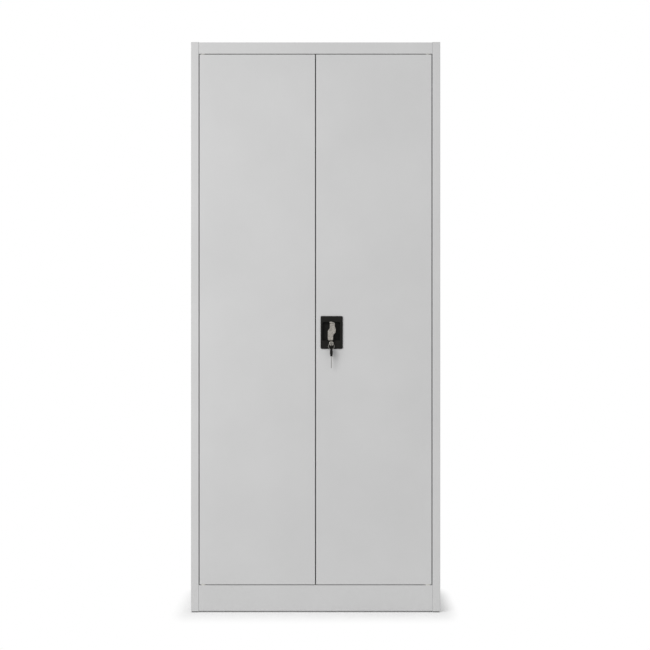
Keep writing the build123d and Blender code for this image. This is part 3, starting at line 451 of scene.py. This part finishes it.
lever = {"upper": (-4.6, 11.0), "lower": (-11.3, 6.0), "top": 30.8, "foot": -29.4, "leftStep": 10.2,
         "rightStep": -12.6, "topBend": -1.0, "waist": 15.6, "lipFoot": 25.6, "lip": 1.5, "front": 13.2, "back": 4.4,
         "stem": 9.0, "spindle": 5.0, "spindleEnd": 14.0, "square": 6.9, "squareEnd": 17.0, "dimple": 2.1,
         "dimpleDeep": 0.8, "footCorner": 2.6, "footFrom": -28.0, "floorGap": 0.5, "cell": 0.5, "smooth": 9,
         "shifts": (("left", "leftStep", 0.2, -8.7), ("right", "leftStep", 3.1, -3.4),
                    ("right", "rightStep", 2.9, 9.1), ("inLeft", "top", -1.6, -1.5), ("inRight", "top", 0, -2.2),
                    ("right", "top", -0.5, -3.8), ("left", "foot", 0.4, 0.6), ("inRight", "foot", -0.8, 0))}


def makeLever():
    x = lambda value: lockX + value * mm
    z = lambda value: leverZ + value * mm
    left, right = lever["lower"][0], lever["upper"][1]
    inLeft, inRight = lever["upper"][0], lever["lower"][1]
    frontFace, backFace = frontY - lever["front"] * mm, frontY - lever["back"] * mm
    blade = addBox("turnHandle", (x(left), frontFace, z(lever["rightStep"])),
                   (x(right), backFace, z(lever["leftStep"])))
    sliceAt(blade, 0, [x(inLeft), x(lever["topBend"]), x(inRight)])
    topFaces = lambda c: all(near(p.z, z(lever["leftStep"])) and p.x > x(inLeft) - tiny for p in c)
    footFaces = lambda c: all(near(p.z, z(lever["rightStep"])) and p.x < x(inRight) + tiny for p in c)
    extrudeFaces(blade, topFaces, (0, 0, (lever["top"] - lever["leftStep"]) * mm))
    extrudeFaces(blade, footFaces, (0, 0, (lever["foot"] - lever["rightStep"]) * mm))
    sliceAt(blade, 2, [z(lever["waist"]), z(lever["lipFoot"])])
    sides = {"left": left, "right": right, "inLeft": inLeft, "inRight": inRight}
    for side, level, byX, byZ in lever["shifts"]:      # both steps and both ends of the blades are slanted
        corner = lambda c: near(c[0].x, x(sides[side])) and near(c[0].z, z(lever[level]))
        moveVertices(blade, corner, (byX * mm, 0, byZ * mm))
    slices = (x(inLeft), x(lever["topBend"]))
    footEdges = lambda c: along(1, c) and c[0].z < z(lever["footFrom"]) and not any(near(c[0].x, s) for s in slices)
    bevelEdges(blade, footEdges, lever["footCorner"] * mm, 4)
    lipFaces = lambda c: all(near(p.y, frontFace) and p.z > z(lever["lipFoot"]) - tiny for p in c)
    extrudeFaces(blade, lipFaces, (0, -lever["lip"] * mm, 0))      # raised lip along the upper end
    stemEnd = frontY + (plate["recessDepth"] - lever["floorGap"]) * mm
    stem = addRound("stem", (lockX, backFace - overlap, leverZ), (lockX, stemEnd, leverZ), lever["stem"] * mm)
    spindle = addRound("spindle", (lockX, stemEnd - overlap, leverZ),
                       (lockX, frontY + lever["spindleEnd"] * mm, leverZ), lever["spindle"] * mm)
    half = lever["square"] / 2
    square = addBox("square", (x(-half), frontY + lever["spindleEnd"] * mm - overlap, z(-half)),
                    (x(half), frontY + lever["squareEnd"] * mm, z(half)))
    piece = joinPieces([blade, stem, spindle, square], "turnHandle")
    dimple = addRound("dimple", (lockX, frontFace - overlap, leverZ),
                      (lockX, frontFace + lever["dimpleDeep"] * mm, leverZ), lever["dimple"] * mm)
    cutAway(piece, dimple)      # the stem's end is sunk a little
    applyModifier(piece, "REMESH", mode="VOXEL", voxel_size=lever["cell"] * mm)
    applyModifier(piece, "SMOOTH", factor=0.5, iterations=lever["smooth"])      # the casting's edges are soft
    finishPiece(piece, cast, "handle", 60)
    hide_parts("turn_handle")


makeLever()


# Key in the lock, split ring and spare key

key = {"bow": 8.5, "sheet": 1.8, "hole": 1.75, "rim": 1.6, "rimDepth": 0.25, "blade": 3.3, "bladeFrom": 7.6,
       "tip": 2.0, "cuts": (1.2, 0.6, 1.5, 0.9), "cutRound": 1.3, "firstCut": 3.2, "cutPitch": 2.6, "edge": 0.22,
       "merge": 0.05}


def makeDoorKey():
    low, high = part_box("door_key")
    bowY = low[1] + key["bow"] * mm
    half = key["sheet"] / 2 * mm
    bow = addRound("doorKey", (lockX - half, bowY, barrelZ), (lockX + half, bowY, barrelZ), key["bow"] * mm, 64)
    for side in (-1, 1):      # both faces of the bow are sunk inside a flat rim
        pick(bow, "polygons", lambda c: len(c) > 4 and all(near(p.x, lockX + side * half) for p in c))
        bpy.ops.mesh.inset(thickness=key["rim"] * mm, depth=0)
        bpy.ops.mesh.inset(thickness=key["rimDepth"] * mm, depth=-key["rimDepth"] * mm)
        bpy.ops.object.mode_set(mode="OBJECT")
    blade = addBox("blade", (lockX - half, bowY + key["bladeFrom"] * mm, barrelZ - key["blade"] * mm),
                   (lockX + half, high[1], barrelZ + key["blade"] * mm))
    tip = lambda c: near(c[0].y, high[1])
    moveVertices(blade, lambda c: tip(c) and c[0].z > barrelZ, (0, -key["tip"] * mm, 0))
    for step, depth in enumerate(key["cuts"]):      # along the upper edge
        y = high[1] - (key["firstCut"] + key["cutPitch"] * step) * mm
        z = barrelZ + (key["blade"] + key["cutRound"] - depth) * mm
        cutAway(blade, addRound("cut", (lockX - 2 * half, y, z), (lockX + 2 * half, y, z), key["cutRound"] * mm, 24))
    applyModifier(bow, "BOOLEAN", operation="UNION", object=blade, solver="EXACT")      # one stamping
    bpy.data.objects.remove(blade)
    hole = addRound("hole", (lockX - 3 * half, bowY, barrelZ), (lockX + 3 * half, bowY, barrelZ),
                    key["hole"] * mm, 48)
    cutAway(bow, hole)
    applyModifier(bow, "BEVEL", width=key["edge"] * mm, segments=3, limit_method="ANGLE", angle_limit=radians(40))
    finishPiece(bow, shadedKeyNickel, "key", 40, key["merge"])
    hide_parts("door_key")


makeDoorKey()

ring = {"turns": 1.96, "wireWide": 1.4, "wireDeep": 0.72, "corner": 0.22, "firstTurn": -0.4, "rise": 0.8,
        "endTurn": 40, "steps": 150}


def makeSplitRing():
    low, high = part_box("key_ring")
    centre = [(a + b) / 2 for a, b in zip(low, high)]
    outer = (high[0] - low[0]) / 2
    deselectAll()
    bpy.ops.mesh.primitive_plane_add(size=1, location=(0, 0, 0))
    piece = bpy.context.object
    piece.scale = (ring["wireWide"] * mm, ring["wireDeep"] * mm, 1)
    piece.location = (outer - ring["wireWide"] * mm / 2, ring["firstTurn"] * mm, 0)
    settle("keyRing")
    pick(piece, "vertices", lambda c: True)
    bpy.ops.mesh.bevel(offset=ring["corner"] * mm, segments=3, affect="VERTICES")
    bpy.ops.object.mode_set(mode="OBJECT")
    piece.rotation_euler = (0, radians(ring["endTurn"]), 0)      # the wire's end shows below the key, on the right
    settle("keyRing")
    applyModifier(piece, "SCREW", axis="Y", angle=ring["turns"] * 2 * pi, screw_offset=ring["rise"] * mm,
                  steps=ring["steps"], render_steps=ring["steps"], use_merge_vertices=False)
    pick(piece, "edges", lambda c: True)
    bpy.ops.mesh.fill_holes(sides=0)
    bpy.ops.mesh.normals_make_consistent(inside=False)
    bpy.ops.object.mode_set(mode="OBJECT")
    piece.location = centre
    settle("keyRing")
    finishPiece(piece, shadedKeyNickel, "key_ring", 50)
    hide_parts("key_ring")


makeSplitRing()

spare = {"corner": 5.7, "cornerOver": 4.0, "grip": 2.6, "gripDepth": 0.7, "gripSlope": 0.6, "hole": 2.4,
         "holeDrop": 2.2, "round": 0.8, "swell": 0.9, "swellRise": (7.0, 15.0), "bowTaper": 2.5, "footTaper": 1.0,
         "tang": 1.0, "bladeTaper": 2.2, "cuts": (1.2, 0.68, 1.2, 1.2, 0.68), "cutRound": 1.5, "firstCut": 5.0,
         "cutPitch": 5.2, "groove": (-1.1, 0.0), "grooveDeep": 0.45, "grooveEnd": 2.0, "edge": 0.12,
         "bladeMerge": 0.01}


def makeSpareKey():
    low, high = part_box("spare_key_bow")
    holeZ = high[2] - (spare["holeDrop"] + spare["hole"]) * mm
    midY = (low[1] + high[1]) / 2
    bow = addBox("spareKeyBow", low, high)
    lower = lambda c: near(c[0].z, low[2])
    moveVertices(bow, lambda c: lower(c) and c[0].y < midY, (0, spare["bowTaper"] * mm, 0))
    moveVertices(bow, lambda c: lower(c) and c[0].y > midY, (0, -spare["bowTaper"] * mm, 0))
    bevelEdges(bow, lambda c: abs(c[0].x - c[1].x) > spare["cornerOver"] * mm, spare["corner"] * mm, 6)
    swell = [low[2] + rise * mm for rise in spare["swellRise"]]
    sliceAt(bow, 2, swell)
    for side in (-1, 1):      # it is fuller in its middle and narrows to a round foot
        moveVertices(bow, lambda c: any(near(c[0].z, z) for z in swell) and side * (c[0].x - lockX) > 0,
                     (side * spare["swell"] * mm, 0, 0))
        moveVertices(bow, lambda c: lower(c) and side * (c[0].x - lockX) > 0,
                     (-side * spare["footTaper"] * mm, 0, 0))
    for side in (-1, 1):      # sunk grip panel on both faces
        swollen = lockX + side * ((high[0] - low[0]) / 2 + spare["swell"] * mm)
        pick(bow, "polygons", lambda c: len(c) > 3 and all(near(p.x, swollen) for p in c))
        bpy.ops.mesh.inset(thickness=spare["grip"] * mm, depth=0)
        bpy.ops.mesh.inset(thickness=spare["gripSlope"] * mm, depth=-spare["gripDepth"] * mm)
        bpy.ops.object.mode_set(mode="OBJECT")
    hole = addRound("hole", (low[0] - 2 * overlap, midY, holeZ), (high[0] + 2 * overlap, midY, holeZ),
                    spare["hole"] * mm, 40)
    cutAway(bow, hole)
    applyModifier(bow, "BEVEL", width=spare["round"] * mm, segments=4, limit_method="ANGLE",
                  angle_limit=radians(60))
    finishPiece(bow, blackAbs, "spare_key", 40)
    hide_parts("spare_key_bow")

    bladeLow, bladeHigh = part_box("spare_key_blade")
    bladeTop = low[2] + spare["tang"] * mm
    blade = addBox("spareKeyBlade", bladeLow, (bladeHigh[0], bladeHigh[1], bladeTop))
    tipVertex = lambda c: near(c[0].z, bladeLow[2])
    moveVertices(blade, lambda c: tipVertex(c) and c[0].y < midY, (0, spare["bladeTaper"] * mm, 0))
    moveVertices(blade, lambda c: tipVertex(c) and c[0].y > midY, (0, -spare["bladeTaper"] * mm, 0))
    width = (bladeHigh[1] - bladeLow[1]) / 2
    tall = bladeTop - bladeLow[2]
    for step, depth in enumerate(spare["cuts"]):      # each is as deep as it says from the slanted edge
        z = bladeLow[2] + (spare["firstCut"] + spare["cutPitch"] * step) * mm
        edge = midY + width - spare["bladeTaper"] * mm * (1 - (z - bladeLow[2]) / tall)
        y = edge + (spare["cutRound"] - depth) * mm
        cutAway(blade, addRound("cut", (bladeLow[0] - overlap, y, z), (bladeHigh[0] + overlap, y, z),
                                spare["cutRound"] * mm, 16))
    deep = spare["grooveDeep"] * mm
    for side in (bladeLow[0], bladeHigh[0]):      # the milled groove along each face
        groove = addBox("groove", (side - deep, midY + spare["groove"][0] * mm, bladeLow[2] - overlap),
                        (side + deep, midY + spare["groove"][1] * mm, low[2] - spare["grooveEnd"] * mm))
        cutAway(blade, groove)
    joinFlats(blade)
    applyModifier(blade, "BEVEL", width=spare["edge"] * mm, segments=2, limit_method="ANGLE",
                  angle_limit=radians(40))
    finishPiece(blade, shadedKeyNickel, "spare_key", 40, spare["bladeMerge"])
    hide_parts("spare_key_blade")


makeSpareKey()


# Spot welds that hold the channels inside the doors

welds = {"radius": 2.6, "crown": 2.08, "proud": 0.12, "sunk": 0.1, "flange": 1.6, "count": 12, "edge": 6.0,
         "endGap": 45.0}


def makeDoorWelds(side):
    low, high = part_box(f"{side}_door_stiffener")
    flangeY = frontY + welds["flange"] * mm
    firstX, firstZ = low[0] + welds["edge"] * mm, low[2] + welds["endGap"] * mm
    across = high[0] - low[0] - 2 * welds["edge"] * mm
    pitch = (high[2] - low[2] - 2 * welds["endGap"] * mm) / (welds["count"] - 1)
    spot = addRound("weld", (firstX, flangeY - welds["sunk"] * mm, firstZ),
                    (firstX, flangeY + welds["proud"] * mm, firstZ), welds["radius"] * mm, 16, welds["crown"] * mm)
    places = [(column * across, 0, row * pitch) for column in (0, 1) for row in range(welds["count"])]
    spots = [spot] + [copyPiece(spot, by) for by in places[1:]]
    piece = joinPieces(spots, f"{side}DoorWelds")
    finishPiece(piece, coat, f"{side}_door")


for side in ("left", "right"):
    makeDoorWelds(side)


# Floor, light and camera

stage = {"floor": ("#D9D9D9", "#DCDCDC"), "floorGain": 1.3, "foot": (0.4, 0.19, 0), "fadeSpeed": (3.7, 1, 0),
         "fadeReach": 0.25, "whiteShare": 0.14, "sky": 0.68, "keyStrength": 0.97, "keyAngle": 30,
         "keyPlace": (-2, -3, 4), "keyTurn": (60, 0, -36), "sidePlace": (-1.7, -1.5, 1.5), "sideTurn": (82, 0, -48),
         "sideSize": (0.9, 1.9), "sideStrength": 11.5, "sensor": 36, "distance": 6.0, "frameWide": 2.0855,
         "centreX": 0.0302, "centreZ": 0.922}


def makeFloor():
    material, tree = newMaterial("pale studio floor")
    fleck = grain(tree, 60, 2)
    tone = spreadValue(tree, fleck.outputs["Fac"], 0, 1)
    path = addNode(tree, "ShaderNodeLightPath")
    gain = addNode(tree, "ShaderNodeMath", {"operation": "MULTIPLY_ADD"}, {0: path.outputs["Is Camera Ray"]})
    gain.inputs[1].default_value = stage["floorGain"] - 1
    gain.inputs[2].default_value = 1.0
    seen = addNode(tree, "ShaderNodeVectorMath", {"operation": "SCALE"},
                   {"Vector": twoTone(tree, tone.outputs["Result"], *stage["floor"]), "Scale": gain.outputs["Value"]})
    paint = addNode(tree, "ShaderNodeBsdfDiffuse", {}, {"Color": seen.outputs["Vector"]})
    white = addNode(tree, "ShaderNodeEmission", {"Color": (1, 1, 1, 1), "Strength": 1.0})
    spot = addNode(tree, "ShaderNodeTexCoord")      # the shadow is kept at the cabinet's foot and fades to white
    half = addNode(tree, "ShaderNodeVectorMath", {"operation": "ABSOLUTE"}, {0: spot.outputs["Object"]})
    past = addNode(tree, "ShaderNodeVectorMath", {"operation": "SUBTRACT"}, {0: half.outputs["Vector"]})
    past.inputs[1].default_value = stage["foot"]
    outside = addNode(tree, "ShaderNodeVectorMath", {"operation": "MAXIMUM"}, {0: past.outputs["Vector"]})
    speed = addNode(tree, "ShaderNodeVectorMath", {"operation": "MULTIPLY"}, {0: outside.outputs["Vector"]})
    speed.inputs[1].default_value = stage["fadeSpeed"]
    away = addNode(tree, "ShaderNodeVectorMath", {"operation": "LENGTH"}, {0: speed.outputs["Vector"]})
    fade = addNode(tree, "ShaderNodeMapRange", {"interpolation_type": "SMOOTHSTEP", "From Max": stage["fadeReach"],
                                                "To Min": stage["whiteShare"]}, {"Value": away.outputs["Value"]})
    share = addNode(tree, "ShaderNodeMath", {"operation": "MULTIPLY"},
                    {0: path.outputs["Is Camera Ray"], 1: fade.outputs["Result"]})
    mix = addNode(tree, "ShaderNodeMixShader", {},
                  {0: share.outputs["Value"], 1: paint.outputs["BSDF"], 2: white.outputs["Emission"]})
    addNode(tree, "ShaderNodeOutputMaterial", {}, {"Surface": mix.outputs["Shader"]})
    deselectAll()
    bpy.ops.mesh.primitive_plane_add(size=60, location=(0, 0, 0))
    floor = settle("floor")
    floor.data.materials.append(material)
    floor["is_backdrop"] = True


def makeWorld():
    world = bpy.data.worlds.new("studio")
    bpy.context.scene.world = world
    world.use_nodes = True
    tree = world.node_tree
    tree.nodes.clear()
    path = addNode(tree, "ShaderNodeLightPath")
    seen = addNode(tree, "ShaderNodeMath", {"operation": "MAXIMUM"})
    tree.links.new(path.outputs["Is Camera Ray"], seen.inputs[0])
    tree.links.new(path.outputs["Is Glossy Ray"], seen.inputs[1])
    light = addNode(tree, "ShaderNodeBackground", {"Color": (1, 1, 1, 1), "Strength": stage["sky"]})
    white = addNode(tree, "ShaderNodeBackground", {"Color": (1, 1, 1, 1), "Strength": 1.0})
    mix = addNode(tree, "ShaderNodeMixShader", {}, {"Fac": seen.outputs["Value"]})
    tree.links.new(light.outputs["Background"], mix.inputs[1])
    tree.links.new(white.outputs["Background"], mix.inputs[2])
    addNode(tree, "ShaderNodeOutputWorld", {}, {"Surface": mix.outputs["Shader"]})


def makeLights():
    deselectAll()
    bpy.ops.object.light_add(type="SUN", location=stage["keyPlace"], rotation=[radians(a) for a in stage["keyTurn"]])
    sun = bpy.context.object
    sun.name = "key light"
    sun.data.energy = stage["keyStrength"]
    sun.data.angle = radians(stage["keyAngle"])
    bpy.ops.object.light_add(type="AREA", location=stage["sidePlace"],
                            rotation=[radians(a) for a in stage["sideTurn"]])
    side = bpy.context.object
    side.name = "side softbox"
    side.data.shape = "RECTANGLE"
    side.data.size, side.data.size_y = stage["sideSize"]
    side.data.energy = stage["sideStrength"]


def makeCamera():
    deselectAll()
    place = (stage["centreX"], frontY - stage["distance"], stage["centreZ"])
    bpy.ops.object.camera_add(location=place, rotation=(radians(90), 0, 0))
    camera = bpy.context.object
    camera.name = "photo camera"
    camera.data.sensor_width = stage["sensor"]
    camera.data.lens = stage["sensor"] * stage["distance"] / stage["frameWide"]
    camera.data.clip_end = 100
    bpy.context.scene.camera = camera


makeFloor()
makeWorld()
makeLights()
makeCamera()
bpy.context.scene.view_settings.view_transform = "Standard"
print("stage set")

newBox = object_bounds()
{"cad": [list(corner) for corner in cadBox], "visual": [list(corner) for corner in newBox]}
